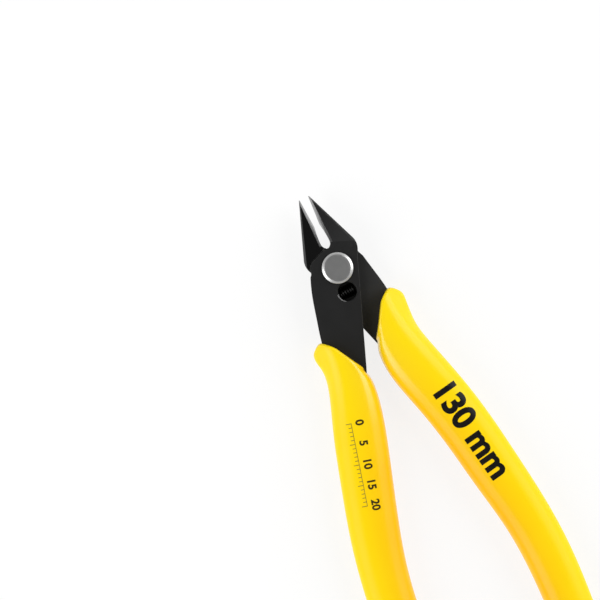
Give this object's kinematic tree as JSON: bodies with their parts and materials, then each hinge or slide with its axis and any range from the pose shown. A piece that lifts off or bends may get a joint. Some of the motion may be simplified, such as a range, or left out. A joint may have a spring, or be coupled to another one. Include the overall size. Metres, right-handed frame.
{
  "type": "flush cut pliers",
  "caption": "Spring-opened flush cutter with lapped black steel blades, a bevelled pivot pin and yellow dipped grips.",
  "frame": {"origin": "centre of the pivot head's flat face, on the pivot axis", "axes": "+Z out of the front face along the pivot axis, +Y towards the jaw tips, +X to the right seen from the front"},
  "size_m": [0.0514, 0.1303, 0.0104],
  "materials": {
    "black_steel": "black phosphate on ground plate, satin",
    "bright_steel": "satin face with a polished bevel",
    "spring_steel": "dark oiled wire",
    "yellow_vinyl": "glossy dipped vinyl"
  },
  "bodies": {
    "front_half": {"front_blade": "black_steel", "left_grip": "yellow_vinyl", "pivot_pin": "bright_steel", "pivot_collar": "bright_steel", "return_spring": "spring_steel"},
    "rear_half": {"rear_blade": "black_steel", "right_grip": "yellow_vinyl"}
  },
  "joints": [
    {"name": "squeeze", "type": "hinge", "parent": "front_half", "child": "rear_half", "pos_m": [0, 0, -0.00338], "axis": [0, 0, 1], "range_deg": [-6.8, 0], "stiffness_Nm_per_rad": 0.4, "springref_deg": 2.86, "deforming": ["return_spring"]}
  ]
}
